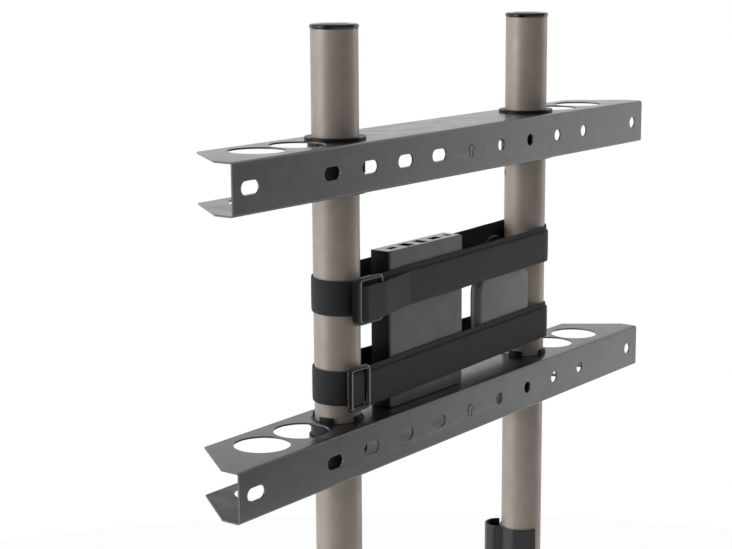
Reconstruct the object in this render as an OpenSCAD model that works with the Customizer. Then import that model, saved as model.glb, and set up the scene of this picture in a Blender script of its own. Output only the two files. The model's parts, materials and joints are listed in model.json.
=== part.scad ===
// Rolling stand for a flat screen: two round posts on an H shaped base with four casters.
// Two slotted rails slide on the posts and take the screen; two straps hold small devices between them.
// Millimetres, +Z up, the screen side is -Y. The origin is on the floor, midway between the posts.

/* [Stand] */
// Height from the floor to the top of the post caps
stand_h = 1497; // [1460:1:1600]
// Distance between the post axes
post_spacing = 300; // [290:1:310]
// Outer diameter of a post
post_d = 40; // [38:0.5:42]
// Wall of a post
post_wall = 2; // [1.5:0.5:3]
// Diameter of the pass hole in the inner side of each post
post_hole_d = 6; // [4:0.5:8]
// Drop of the pass hole below the upper rail's middle
post_hole_drop = 38.5; // [35:0.5:44]
// Turn of the pass hole from the post's inner side towards the back
post_hole_turn = 46; // [0:1:60]

/* [Post caps] */
// Thickness of the cap's rim on top of the post
cap_rim_t = 3; // [2:0.5:4]
// Height of the dome above the rim
cap_dome_h = 2; // [1:0.5:3]
// How far the rim stands out from the post
cap_lip = 0.8; // [0.4:0.1:1.2]
// Length of the plug inside the post
cap_plug_len = 22; // [16:1:30]
// Wall of the plug
cap_plug_wall = 2; // [1.5:0.5:3]

/* [Rails] */
// Drop of the upper rail's middle below the top of the caps
rail_drop = 117; // [112:1:140]
// Distance between the middles of the two rails
rail_gap = 240; // [232:1:280]
// Length of a rail
rail_len = 640; // [630:2:680]
// Height of a rail
rail_h = 42; // [40:1:46]
// Depth of a rail from its front face to its back edge
rail_depth = 70; // [66:1:76]
// Distance from the post axis to the rail's front face
rail_front = 36.5; // [35:0.5:38]
// Sheet thickness of a rail
rail_t = 1.5; // [1.2:0.1:2]
// Outer radius of the rail's two folds
rail_fold_r = 2.5; // [2.5:0.25:4]
// Length of the flange's straight end behind the front face
rail_end_straight = 18.5; // [14:0.5:22]
// How far the slanted end takes the back edge in
rail_end_taper = 37; // [30:1:40]
// Radius of the flange's outer corners
rail_corner_r = 2; // [1.5:0.25:6]
// Diameter of the post holes in the flanges
flange_hole_d = 47; // [46:0.25:47.5]
// Pitch of the post holes in the flanges
flange_hole_pitch = 50; // [50:0.5:52]
// Pitch of the screen fixing holes in the front face
fixing_pitch = 50; // [48:0.5:51]
// Diameter of the round fixing holes
fixing_hole_d = 11; // [9:0.5:12]
// Length of the slotted fixing holes
fixing_slot_len = 21; // [18:1:24]

/* [Direction arrow] */
// Width of the pressed arrow
arrow_w = 13.5; // [12:0.5:15]
// Height of the pressed arrow
arrow_h = 13.3; // [12:0.5:15]
// Width of the arrow's shaft
arrow_shaft_w = 6.4; // [5.5:0.1:7]
// Width of the pressed line
arrow_line = 1.2; // [1:0.1:1.5]
// Depth of the pressed line
arrow_depth = 0.5; // [0.3:0.1:0.8]

/* [Bushes and collars] */
// Diameter of a bush's flange
bush_flange_d = 52; // [51:0.25:52]
// Thickness of a bush's flange
bush_flange_t = 2.5; // [2:0.5:4]
// Width of the slits in a bush's barrel
bush_slit_w = 2; // [1.5:0.5:3]
// Height of the teeth on the lower rail's top bushes
bush_tooth_h = 4.5; // [3:0.5:5]
// Thickness of those teeth
bush_tooth_t = 2; // [1.5:0.5:3]
// Angle that one tooth covers
bush_tooth_angle = 36; // [30:1:44]
// Outer diameter of a clamping collar
collar_d = 50; // [49:0.5:53]
// Height of a clamping collar
collar_h = 14; // [12:1:16]
// Diameter of a clamping collar's screw
collar_screw_d = 6; // [5:0.5:8]

/* [Straps] */
// Width of the webbing
strap_w = 30; // [28:1:32]
// Thickness of the webbing
strap_t = 1.6; // [1.2:0.2:2]
// Height of the lower strap's middle above the lower rail's middle
lower_strap_rise = 54; // [54:1:58]
// Height of the upper strap's middle above the lower rail's middle
upper_strap_rise = 131; // [126:1:133]
// Drop of the strap's outer layer below its inner layer
strap_tail_drop = 5; // [3:0.5:6]

/* [Buckles] */
// Width of a buckle ring
buckle_w = 30.5; // [29:0.5:36]
// Height of a buckle ring
buckle_h = 41; // [40:0.5:43]
// Thickness of a buckle ring
buckle_t = 3.4; // [3:0.2:4]
// Width of a buckle's upright bars
buckle_side_bar = 5; // [4.5:0.5:6]
// Width of a buckle's cross bars
buckle_cross_bar = 4; // [3.5:0.25:4.5]
// Radius of a buckle's outer corners
buckle_corner_r = 5; // [4:0.5:6]
// Place of the upper buckle's middle, right of the left post's axis
upper_buckle_in = 13.5; // [13:0.5:22]
// Place of the lower buckle's middle, right of the left post's axis
lower_buckle_in = 2; // [0:0.5:4]
// How far the webbing's fold lifts the upper buckle off the loop
upper_buckle_lift = 3.2; // [2:0.2:4]

/* [Media box] */
// Width of the media box
media_w = 111; // [105:0.5:114]
// Depth of the media box
media_depth = 21; // [20:0.5:24]
// Height of the media box
media_h = 139; // [136:0.5:150]
// Distance from the left post's axis to the media box
media_in = 49.5; // [46:0.5:52]
// Wall of the media box
media_wall = 2; // [1.5:0.5:3]
// Radius of the front panel's corners
media_corner_r = 2; // [1:0.5:3]
// Height of the media box's strip of sockets
media_strip_h = 9; // [8:0.5:12]
// Depth of the sockets in the strip
media_socket_depth = 7; // [5:0.5:7]

/* [Receiver] */
// Width of the receiver
receiver_w = 91; // [86:0.5:92]
// Height of the receiver
receiver_h = 81; // [76:0.5:84]
// Distance from the right post's side to the receiver
receiver_gap = 0.7; // [0.5:0.1:4]
// Height of the receiver's underside above the lower rail's middle
receiver_rise = 40; // [36:0.5:44]
// Depth of the receiver's front shell
receiver_shell_depth = 8; // [7:0.5:10]
// Wall of the receiver's front shell
receiver_wall = 4; // [3.5:0.5:5]
// Radius of the front shell's corners
receiver_corner_r = 22; // [18:0.5:26]
// Thickness of the receiver's back plate
receiver_back_t = 3.5; // [3:0.5:5]
// How far the back plate is set in from the front shell's edge
receiver_inset = 3; // [2:0.5:3]
// Radius of the round hump on top of the back plate
hump_r = 16; // [14:0.5:18]
// Rise of the hump's centre above the back plate
hump_rise = 15; // [12:0.5:17]
// Shift of the hump from the receiver's middle to the left
hump_shift = 4.5; // [0:0.5:6]

/* [Cable clip] */
// Drop of the clip's top below the lower rail's middle
clip_drop = 160; // [136:1:170]
// Height of the clip
clip_h = 60; // [50:1:80]
// Wall of the clip
clip_wall = 1.8; // [1.5:0.1:2.5]
// Opening angle of the clip's grip on the post
clip_open_angle = 76; // [60:2:100]
// Direction of the clip's hoop, seen from above
clip_angle = 113; // [100:1:140]
// Inner diameter of the clip's hoop
hoop_d = 23.6; // [20:0.2:26]
// Wall of the hoop
hoop_wall = 1.6; // [1.4:0.1:2]
// Distance from the grip's outer face to the hoop's axis
hoop_out = 1.9; // [0.5:0.1:4]
// Width of the slit that a cable enters the hoop by
hoop_slit_w = 6; // [5:0.5:8]

/* [Base] */
// Width of the base over the legs
base_w = 650; // [620:5:700]
// Length of a leg from front to back
leg_len = 600; // [560:5:680]
// Width of a leg
leg_w = 50; // [46:1:56]
// Height of a leg
leg_h = 30; // [26:1:36]
// Wall of the legs and the crossbeam
base_wall = 2.5; // [2:0.5:3]
// Radius of the legs' and crossbeam's long edges
base_edge_r = 4; // [3.5:0.5:5]
// Depth of the crossbeam from front to back
beam_depth = 80; // [76:1:90]
// Height of the crossbeam
beam_h = 40; // [36:1:50]
// Thickness of the end caps
end_cap_t = 3; // [2:0.5:5]
// Length of the end caps' plugs
end_plug_len = 14; // [10:1:20]

/* [Post sockets] */
// Width of a socket's plate along the crossbeam
socket_plate_w = 110; // [104:1:120]
// Depth of a socket's plate
socket_plate_depth = 76; // [72:1:76]
// Thickness of a socket's plate
socket_plate_t = 6; // [5:0.5:8]
// Height of a socket's neck above its plate
socket_neck_h = 45; // [35:1:60]
// Wall of a socket's neck
socket_wall = 4.5; // [4:0.5:6]
// Thread diameter of the base bolts
bolt_d = 8; // [6:0.5:8]
// Diameter of a base bolt's head
bolt_head_d = 13; // [12:0.5:14]
// Height of a base bolt's head
bolt_head_h = 5; // [4:0.5:8]
// Distance from a plate's edge to its bolts
bolt_edge = 12; // [10:0.5:13]

/* [Casters] */
// Diameter of a wheel
wheel_d = 60; // [56:1:66]
// Width of a wheel
wheel_w = 22; // [20:0.5:24]
// Distance from a leg's end to the caster's swivel axis
caster_inset = 66; // [65:1:80]
// Offset of the wheel's axle from the swivel axis
caster_trail = 22; // [20:0.5:24]
// Sheet thickness of a caster's fork
fork_t = 3; // [2.5:0.5:3.5]
// Diameter of the swivel race and its plate
race_d = 36; // [34:1:38]
// Thickness of the swivel race
race_t = 3; // [2.5:0.5:4]
// Thickness of the caster's mounting plate
caster_plate_t = 5; // [4:0.5:6]
// Diameter of the wheel's axle
axle_d = 8; // [7:0.5:9]
// Diameter of the swivel pin
kingpin_d = 8; // [7:0.5:9]
// Length of the brake pedal's tread
pedal_len = 24; // [20:1:26]
// Thickness of the brake pedal's tread
pedal_t = 3; // [2.5:0.5:3.5]

/* [Hidden] */
$fn = 64;
corner_steps = 6;
cut_over = 1;
running_gap = 0.05;
part_gap = 0.1;
soft_gap = 0.3;

// Colours as the photograph shows them
post_colour = "#9a9088";
rail_colour = "#57555a";
black_plastic = "#1b1a1c";
webbing_colour = "#2b2a2c";
device_colour = "#5b5a5d";
device_front_colour = "#6d6c6e";
steel_colour = "#8f9194";
tyre_colour = "#3a3a3c";

// Heights, from the floor up
wheel_r = wheel_d / 2;
wheel_roof_gap = 3;
fork_roof_z = wheel_d + wheel_roof_gap;
race_z = fork_roof_z + fork_t;
caster_plate_z = race_z + race_t + part_gap;
leg_z = caster_plate_z + caster_plate_t;
beam_z = leg_z + leg_h;
socket_z = beam_z + beam_h;
post_top_z = stand_h - cap_rim_t - cap_dome_h;
upper_rail_z = stand_h - rail_drop;
lower_rail_z = upper_rail_z - rail_gap;

// Places across the stand
post_x = post_spacing / 2;
leg_x = (base_w - leg_w) / 2;
caster_y = leg_len / 2 - caster_inset;
sides = [-1, 1];

// Fixing holes, counted in pitches from the rail's middle
fixing_pitch_counts = [1, 2, 3, 4, 6];
// Free post holes, counted in pitches outward from the post
free_hole_counts = [0, 1, 2];

// Straps: the loop runs round both posts and the devices stand behind its front run
strap_in_r = post_d / 2 + soft_gap;
strap_out_r = strap_in_r + strap_t;
device_front_y = -post_d / 2;
lower_buckle_back_y = -strap_out_r - part_gap;
upper_buckle_back_y = lower_buckle_back_y - upper_buckle_lift;
upper_buckle_front_y = upper_buckle_back_y - buckle_t;
tail_ramp_len = 8;

// Points of an arc that rounds one corner of an outline
function corner_arc(before, corner, after, r) =
    let(
        to_before = (before - corner) / norm(before - corner),
        to_after = (after - corner) / norm(after - corner),
        half_angle = acos(to_before * to_after) / 2,
        centre = corner + (to_before + to_after) / norm(to_before + to_after) * r / sin(half_angle),
        arc_start = corner + to_before * r / tan(half_angle) - centre,
        arc_end = corner + to_after * r / tan(half_angle) - centre,
        start_angle = atan2(arc_start.y, arc_start.x),
        turn = atan2(cross(arc_start, arc_end), arc_start * arc_end)
    )
    [for (i = [0 : corner_steps])
        let(angle = start_angle + turn * i / corner_steps)
        centre + r * [cos(angle), sin(angle)]];

// An outline with every corner rounded
function rounded(points, r) =
    let(n = len(points))
    [for (i = [0 : n - 1]) each corner_arc(points[(i + n - 1) % n], points[i], points[(i + 1) % n], r)];

function rectangle(w, h) = [[-w / 2, -h / 2], [w / 2, -h / 2], [w / 2, h / 2], [-w / 2, h / 2]];

module along_x(length) {
    rotate([90, 0, 90]) linear_extrude(length, center = true) children();
}

module towards_front() {
    rotate([90, 0, 0]) children();
}

// A bar profile with round long edges, made of true arcs
module bar_profile(w, h, r) {
    square([w - 2 * r, h], center = true);
    square([w, h - 2 * r], center = true);
    for (sx = sides, sy = sides)
        translate([sx * (w / 2 - r), sy * (h / 2 - r)]) circle(r);
}

module bar_tube_profile(w, h) {
    difference() {
        bar_profile(w, h, base_edge_r);
        bar_profile(w - 2 * base_wall, h - 2 * base_wall, base_edge_r - base_wall);
    }
}

// Posts and their caps
module post(side) {
    color(post_colour) translate([side * post_x, 0, 0]) difference() {
        translate([0, 0, socket_z]) cylinder(h = post_top_z - socket_z, d = post_d);
        translate([0, 0, socket_z - cut_over])
            cylinder(h = post_top_z - socket_z + 2 * cut_over, d = post_d - 2 * post_wall);
        translate([0, 0, upper_rail_z - post_hole_drop])
            rotate([0, 0, -side * post_hole_turn]) rotate([0, -side * 90, 0])
                cylinder(h = post_d, d = post_hole_d);
    }
}

cap_rim_r = post_d / 2 + cap_lip;
cap_dome_steps = 8;
cap_plug_r = post_d / 2 - post_wall - part_gap;
cap_dome_r = (cap_rim_r * cap_rim_r + cap_dome_h * cap_dome_h) / (2 * cap_dome_h);
cap_dome_angle = asin(cap_rim_r / cap_dome_r);

module post_cap(side) {
    dome = [for (i = [0 : cap_dome_steps])
        let(a = cap_dome_angle * (1 - i / cap_dome_steps))
        [cap_dome_r * sin(a), cap_rim_t + cap_dome_h - cap_dome_r * (1 - cos(a))]];
    plug = [
        [0, 0], [cap_plug_r - cap_plug_wall, 0],
        [cap_plug_r - cap_plug_wall, -cap_plug_len], [cap_plug_r, -cap_plug_len], [cap_plug_r, 0],
        [cap_rim_r, 0]
    ];
    color(black_plastic) translate([side * post_x, 0, post_top_z])
        rotate_extrude() polygon(concat(plug, dome));
}

// Rails
rail_back = rail_depth - rail_front;

module rail_profile() {
    fold_in_r = rail_fold_r - rail_t;
    translate([-rail_front, -rail_h / 2 + rail_fold_r]) square([rail_t, rail_h - 2 * rail_fold_r]);
    for (side = sides) {
        translate([-rail_front + rail_fold_r, side * (rail_h / 2 - rail_t / 2) - rail_t / 2])
            square([rail_depth - rail_fold_r, rail_t]);
        translate([-rail_front + rail_fold_r, side * (rail_h / 2 - rail_fold_r)]) intersection() {
            difference() {
                circle(rail_fold_r);
                circle(fold_in_r);
            }
            translate([-rail_fold_r, side * rail_fold_r / 2 - rail_fold_r / 2]) square(rail_fold_r);
        }
    }
}

module rail_outline() {
    half = rail_len / 2;
    straight_y = rail_end_straight - rail_front;
    taper_x = half - rail_end_taper;
    polygon(concat(
        [[-half, -rail_front], [half, -rail_front]],
        corner_arc([half, -rail_front], [half, straight_y], [taper_x, rail_back], rail_corner_r),
        corner_arc([half, straight_y], [taper_x, rail_back], [-taper_x, rail_back], rail_corner_r),
        corner_arc([taper_x, rail_back], [-taper_x, rail_back], [-half, straight_y], rail_corner_r),
        corner_arc([-taper_x, rail_back], [-half, straight_y], [-half, -rail_front], rail_corner_r)
    ));
}

module fixing_slot() {
    reach = (fixing_slot_len - fixing_hole_d) / 2;
    for (side = sides) translate([side * reach, 0, 0]) cylinder(h = rail_fold_r, d = fixing_hole_d);
    translate([-reach, -fixing_hole_d / 2, 0]) cube([2 * reach, fixing_hole_d, rail_fold_r]);
}

// The arrow's outline, moved in from its edge
function arrow_points(inset) =
    let(
        head_z = arrow_h - arrow_w / 2,
        shaft = arrow_shaft_w / 2 - inset,
        head = arrow_w / 2 - inset * (1 + sqrt(2))
    )
    [
        [0, arrow_h - inset * sqrt(2)], [head, head_z + inset], [shaft, head_z + inset],
        [shaft, inset], [-shaft, inset], [-shaft, head_z + inset], [-head, head_z + inset]
    ];

module rail(rail_z) {
    color(rail_colour) translate([0, 0, rail_z]) difference() {
        intersection() {
            along_x(rail_len) rail_profile();
            translate([0, 0, -rail_h / 2 - cut_over]) linear_extrude(rail_h + 2 * cut_over) rail_outline();
        }
        for (side = sides, count = free_hole_counts)
            translate([side * (post_x + count * flange_hole_pitch), 0, -rail_h / 2 - cut_over])
                cylinder(h = rail_h + 2 * cut_over, d = flange_hole_d);
        for (count = fixing_pitch_counts) {
            translate([count * fixing_pitch, -rail_front + rail_t + cut_over, 0])
                towards_front() cylinder(h = rail_t + 2 * cut_over, d = fixing_hole_d);
            translate([-count * fixing_pitch, -rail_front + rail_t + cut_over, 0])
                towards_front() fixing_slot();
        }
        translate([0, -rail_front + arrow_depth, -arrow_h / 2]) towards_front() linear_extrude(cut_over)
            difference() {
                polygon(arrow_points(0));
                polygon(arrow_points(arrow_line));
            }
    }
}

// Flanged bush; its flange lies on the rail and its slit barrel reaches in to the collar
bush_bore_r = post_d / 2 + running_gap;
bush_barrel_r = flange_hole_d / 2 - part_gap;
bush_barrel_len = rail_h / 2 - collar_h / 2;
bush_slit_count = 3;

module bush() {
    difference() {
        union() {
            cylinder(h = bush_flange_t, d = bush_flange_d);
            translate([0, 0, -bush_barrel_len]) cylinder(h = bush_barrel_len, r = bush_barrel_r);
        }
        translate([0, 0, -bush_barrel_len - cut_over])
            cylinder(h = bush_barrel_len + bush_flange_t + 2 * cut_over, r = bush_bore_r);
        for (i = [0 : bush_slit_count - 1])
            rotate([0, 0, i * 180 / bush_slit_count])
                translate([-flange_hole_d / 2, -bush_slit_w / 2, -bush_barrel_len - cut_over])
                    cube([flange_hole_d, bush_slit_w, bush_barrel_len - rail_t]);
    }
}

// Toothed bush; its flange lies under the sheet and its teeth stand round the post above the sheet
bush_tooth_count = 4;
bush_tooth_turn = 10;

module bush_tooth() {
    wedge_r = bush_flange_d;
    translate([0, 0, -rail_t]) linear_extrude(rail_t + bush_tooth_h) intersection() {
        circle(bush_bore_r + bush_tooth_t);
        polygon([
            [0, 0],
            wedge_r * [cos(bush_tooth_angle / 2), -sin(bush_tooth_angle / 2)],
            wedge_r * [cos(bush_tooth_angle / 2), sin(bush_tooth_angle / 2)]
        ]);
    }
}

module toothed_bush() {
    difference() {
        union() {
            translate([0, 0, -rail_t - bush_flange_t]) cylinder(h = bush_flange_t, d = bush_flange_d);
            translate([0, 0, -bush_barrel_len]) cylinder(h = bush_barrel_len, r = bush_barrel_r);
            for (i = [0 : bush_tooth_count - 1])
                rotate([0, 0, bush_tooth_turn + i * 360 / bush_tooth_count]) bush_tooth();
        }
        translate([0, 0, -bush_barrel_len - cut_over])
            cylinder(h = bush_barrel_len + bush_tooth_h + 2 * cut_over, r = bush_bore_r);
    }
}

module rail_bush(rail_z, side, up) {
    color(black_plastic) translate([side * post_x, 0, rail_z + up * rail_h / 2])
        mirror([0, 0, up < 0 ? 1 : 0]) bush();
}

module rail_toothed_bush(rail_z, side) {
    color(black_plastic) translate([side * post_x, 0, rail_z + rail_h / 2]) toothed_bush();
}

module rail_collar(rail_z, side) {
    color(black_plastic) translate([side * post_x, 0, rail_z]) difference() {
        cylinder(h = collar_h, d = collar_d, center = true);
        cylinder(h = collar_h + 2 * cut_over, r = bush_bore_r, center = true);
        towards_front() cylinder(h = collar_d, d = collar_screw_d + 2 * part_gap);
    }
}

// Socket set screw, its tip towards the post and its key socket to the front
module set_screw(d, tip_r, face_r) {
    socket_depth = d / 2;
    key_d = d / 2;
    towards_front() difference() {
        translate([0, 0, tip_r]) cylinder(h = face_r - tip_r, d = d);
        translate([0, 0, face_r - socket_depth]) cylinder(h = socket_depth + cut_over, d = key_d, $fn = 6);
    }
}

module rail_set_screws(rail_z) {
    color(steel_colour) for (side = sides)
        translate([side * post_x, 0, rail_z])
            set_screw(collar_screw_d, post_d / 2 + 2 * part_gap, collar_d / 2);
}

// Straps and buckles
module stadium(r) {
    translate([-post_x, -r]) square([2 * post_x, 2 * r]);
    for (side = sides) translate([side * post_x, 0]) circle(r);
}

module tail_wrap() {
    translate([post_x, 0]) intersection() {
        difference() {
            circle(strap_out_r + strap_t);
            circle(strap_out_r);
        }
        translate([0, -2 * strap_out_r]) square(2 * strap_out_r);
    }
}

// Outer layer that starts flat beside the buckle
module tail_beside(start_x) {
    translate([start_x, -strap_out_r - strap_t]) square([post_x - start_x, strap_t]);
}

// Outer layer that starts over the buckle's front and comes down beside it
module tail_over(start_x, end_x) {
    over_y = upper_buckle_front_y - part_gap;
    polygon([
        [start_x, over_y], [end_x, over_y], [end_x + tail_ramp_len, -strap_out_r], [post_x, -strap_out_r],
        [post_x, -strap_out_r - strap_t], [end_x + tail_ramp_len, -strap_out_r - strap_t],
        [end_x, over_y - strap_t], [start_x, over_y - strap_t]
    ]);
}

module strap_loop(z) {
    translate([0, 0, z - strap_w / 2]) linear_extrude(strap_w) difference() {
        stadium(strap_out_r);
        stadium(strap_in_r);
    }
}

upper_strap_z = lower_rail_z + upper_strap_rise;
lower_strap_z = lower_rail_z + lower_strap_rise;
upper_buckle_x = -post_x + upper_buckle_in;
lower_buckle_x = -post_x + lower_buckle_in;

// Folded end of the webbing between the loop and the buckle's left bar
module fold_behind() {
    translate([upper_buckle_x - buckle_w / 2, -strap_out_r - upper_buckle_lift])
        square([buckle_side_bar, upper_buckle_lift + strap_t / 2]);
}

module strap_upper() {
    color(webbing_colour) {
        strap_loop(upper_strap_z);
        translate([0, 0, upper_strap_z - strap_w / 2 - strap_tail_drop]) linear_extrude(strap_w) {
            fold_behind();
            tail_over(upper_buckle_x - buckle_w / 2 + buckle_side_bar, upper_buckle_x + buckle_w / 2);
            tail_wrap();
        }
    }
}

module strap_lower() {
    color(webbing_colour) {
        strap_loop(lower_strap_z);
        translate([0, 0, lower_strap_z - strap_w / 2 - strap_tail_drop]) linear_extrude(strap_w) {
            tail_beside(lower_buckle_x + buckle_w / 2);
            tail_wrap();
        }
    }
}

module buckle(x, back_y, z) {
    color(black_plastic) translate([x, back_y, z - strap_tail_drop]) towards_front()
        linear_extrude(buckle_t) difference() {
            polygon(rounded(rectangle(buckle_w, buckle_h), buckle_corner_r));
            polygon(rounded(
                rectangle(buckle_w - 2 * buckle_side_bar, buckle_h - 2 * buckle_cross_bar),
                buckle_corner_r / 2
            ));
        }
}

// Media box: a casing that is open to the front, a strip with sockets for leads on top, and a front panel
media_x = -post_x + media_in + media_w / 2;
media_z = lower_rail_z + rail_h / 2 + soft_gap;
media_front_t = media_wall;
media_casing_depth = media_depth - media_front_t;
media_casing_h = media_h - media_strip_h;

// Sockets in the top: place of the middle and width as shares of the box's width, depth as one of its depth
socket_place_shares = [-0.35, -0.16, 0.03, 0.23, 0.41];
socket_width_shares = [0.095, 0.1, 0.08, 0.12, 0.05];
socket_depth_shares = [0.3, 0.55, 0.55, 0.35, 0.3];

module media_box_casing() {
    inner_depth = media_casing_depth - media_wall;
    color(black_plastic) translate([media_x, device_front_y + media_front_t, media_z]) difference() {
        translate([-media_w / 2, 0, 0]) cube([media_w, media_casing_depth, media_casing_h]);
        translate([-media_w / 2 + media_wall, -cut_over, media_wall])
            cube([media_w - 2 * media_wall, inner_depth + cut_over, media_casing_h - 2 * media_wall]);
    }
}

module media_box_sockets() {
    color(black_plastic)
        translate([media_x, device_front_y + media_front_t, media_z + media_casing_h]) difference() {
            translate([-media_w / 2, 0, 0]) cube([media_w, media_casing_depth, media_strip_h]);
            for (i = [0 : len(socket_place_shares) - 1]) {
                w = socket_width_shares[i] * media_w;
                depth = socket_depth_shares[i] * media_depth;
                translate([
                    socket_place_shares[i] * media_w - w / 2,
                    media_depth / 2 - media_front_t - depth / 2,
                    media_strip_h - media_socket_depth
                ])
                    cube([w, depth, media_socket_depth + cut_over]);
            }
        }
}

module media_box_front() {
    color(device_colour) translate([media_x, device_front_y + media_front_t, media_z + media_h / 2])
        towards_front() linear_extrude(media_front_t)
            polygon(rounded(rectangle(media_w, media_h), media_corner_r));
}

// Receiver: a front shell that is open to the back, and a back plate with a round hump on top
receiver_x = post_x - post_d / 2 - receiver_gap - receiver_w / 2;
receiver_z = lower_rail_z + receiver_rise;
receiver_back_y = device_front_y + receiver_shell_depth;

// The receiver's outline, moved in from its edge
module receiver_outline(inset) {
    polygon(rounded(
        rectangle(receiver_w - 2 * inset, receiver_h - 2 * inset),
        receiver_corner_r - inset
    ));
}

module receiver_front() {
    color(device_front_colour) translate([receiver_x, receiver_back_y, receiver_z + receiver_h / 2])
        towards_front() difference() {
            linear_extrude(receiver_shell_depth) receiver_outline(0);
            translate([0, 0, -cut_over]) linear_extrude(receiver_shell_depth - receiver_wall + cut_over)
                receiver_outline(receiver_wall);
        }
}

module receiver_casing() {
    color(device_colour)
        translate([receiver_x, receiver_back_y + receiver_back_t, receiver_z + receiver_h / 2])
            towards_front() linear_extrude(receiver_back_t) {
                receiver_outline(receiver_inset);
                translate([-hump_shift, receiver_h / 2 - receiver_inset]) {
                    translate([0, hump_rise]) circle(hump_r);
                    translate([-hump_r, -hump_r]) square([2 * hump_r, hump_r + hump_rise]);
                }
            }
}

// Cable clip: grips the right post and holds a cable in an open hoop
clip_in_r = post_d / 2 + running_gap;
clip_out_r = clip_in_r + clip_wall;
hoop_r = hoop_d / 2;
hoop_out_r = hoop_r + hoop_wall;
hoop_x = clip_out_r + hoop_out;
// Direction, from the hoop's axis, in which its outer face meets the grip's
hoop_root_angle = 180 - acos(
    (hoop_x * hoop_x + hoop_out_r * hoop_out_r - clip_out_r * clip_out_r) / (2 * hoop_x * hoop_out_r)
);
hoop_slit_angle = hoop_root_angle - asin(hoop_slit_w / 2 / hoop_out_r);

// The hoop's bore and slit, which leave the grip whole
module hoop_void() {
    difference() {
        translate([hoop_x, 0]) {
            circle(hoop_r);
            rotate(-hoop_slit_angle) translate([0, -hoop_slit_w / 2 - part_gap])
                square([hoop_d, hoop_slit_w + part_gap]);
        }
        circle(clip_out_r);
    }
}

module clip_profile() {
    difference() {
        union() {
            circle(clip_out_r);
            translate([hoop_x, 0]) circle(hoop_out_r);
        }
        circle(clip_in_r);
        hoop_void();
        rotate(180) polygon([
            [0, 0],
            2 * clip_out_r * [cos(clip_open_angle / 2), -sin(clip_open_angle / 2)],
            2 * clip_out_r * [1, 0],
            2 * clip_out_r * [cos(clip_open_angle / 2), sin(clip_open_angle / 2)]
        ]);
    }
}

module cable_clip() {
    color(black_plastic) translate([post_x, 0, lower_rail_z - clip_drop - clip_h])
        rotate([0, 0, clip_angle]) linear_extrude(clip_h) clip_profile();
}

// Base: crossbeam on two legs
bolt_hole_d = bolt_d + 2 * part_gap;
leg_bolt_ys = [for (side = sides) side * (beam_depth / 2 - bolt_edge - bolt_d)];
socket_bolt_xs = [for (side = sides) side * (socket_plate_w / 2 - bolt_edge)];
socket_bolt_ys = [for (side = sides) side * (socket_plate_depth / 2 - bolt_edge)];

module socket_bolt_places() {
    for (side = sides, x = socket_bolt_xs, y = socket_bolt_ys)
        translate([side * post_x + x, y, 0]) children();
}

module leg_bolt_places() {
    for (side = sides, y = leg_bolt_ys) translate([side * leg_x, y, 0]) children();
}

module caster_places() {
    for (sx = sides, sy = sides) translate([sx * leg_x, sy * caster_y, 0]) children();
}

module crossbeam() {
    color(black_plastic) difference() {
        translate([0, 0, beam_z + beam_h / 2]) along_x(base_w) bar_tube_profile(beam_depth, beam_h);
        socket_bolt_places() translate([0, 0, beam_z + beam_h / 2]) cylinder(h = beam_h, d = bolt_hole_d);
        leg_bolt_places() translate([0, 0, beam_z - cut_over])
            cylinder(h = beam_h + 2 * cut_over, d = bolt_hole_d);
    }
}

module leg(side) {
    color(black_plastic) difference() {
        translate([side * leg_x, 0, leg_z + leg_h / 2]) rotate([0, 0, 90])
            along_x(leg_len) bar_tube_profile(leg_w, leg_h);
        leg_bolt_places() translate([0, 0, leg_z + leg_h / 2]) cylinder(h = leg_h, d = bolt_hole_d);
        caster_places() translate([0, 0, leg_z - cut_over])
            cylinder(h = leg_h / 2, d = stem_d + 2 * part_gap);
    }
}

// End cap for a bar tube: a plate over the end and a plug inside it, pointing along +X
module end_cap(w, h) {
    plug_gap = 2 * (base_wall + part_gap);
    translate([end_cap_t / 2, 0, 0]) along_x(end_cap_t) bar_profile(w, h, base_edge_r);
    translate([-end_plug_len / 2, 0, 0]) along_x(end_plug_len)
        bar_profile(w - plug_gap, h - plug_gap, base_edge_r - base_wall);
}

module crossbeam_end_caps() {
    color(black_plastic) for (side = sides)
        translate([side * base_w / 2, 0, beam_z + beam_h / 2])
            rotate([0, 0, side < 0 ? 180 : 0]) end_cap(beam_depth, beam_h);
}

module leg_end_caps() {
    color(black_plastic) for (sx = sides, sy = sides)
        translate([sx * leg_x, sy * leg_len / 2, leg_z + leg_h / 2])
            rotate([0, 0, sy * 90]) end_cap(leg_w, leg_h);
}

// Width of the bolts' hexagon key as a share of the thread
key_share = 0.75;

module base_bolt(length) {
    key_d = bolt_d * key_share;
    translate([0, 0, -length]) cylinder(h = length, d = bolt_d);
    difference() {
        cylinder(h = bolt_head_h, d = bolt_head_d);
        translate([0, 0, bolt_head_h / 2]) cylinder(h = bolt_head_h, d = key_d, $fn = 6);
    }
}

// Bolt ends reach past the wall that they screw into
bolt_reach = 8;

module socket_bolts() {
    color(steel_colour) socket_bolt_places() translate([0, 0, socket_z + socket_plate_t])
        base_bolt(socket_plate_t + base_wall + bolt_reach);
}

module leg_bolts() {
    color(steel_colour) leg_bolt_places() translate([0, 0, beam_z + beam_h])
        base_bolt(beam_h + base_wall + bolt_reach);
}

socket_bore_r = post_d / 2 + part_gap;
socket_neck_r = socket_bore_r + socket_wall;
socket_corner_r = 8;
socket_screw_d = 8;

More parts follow.
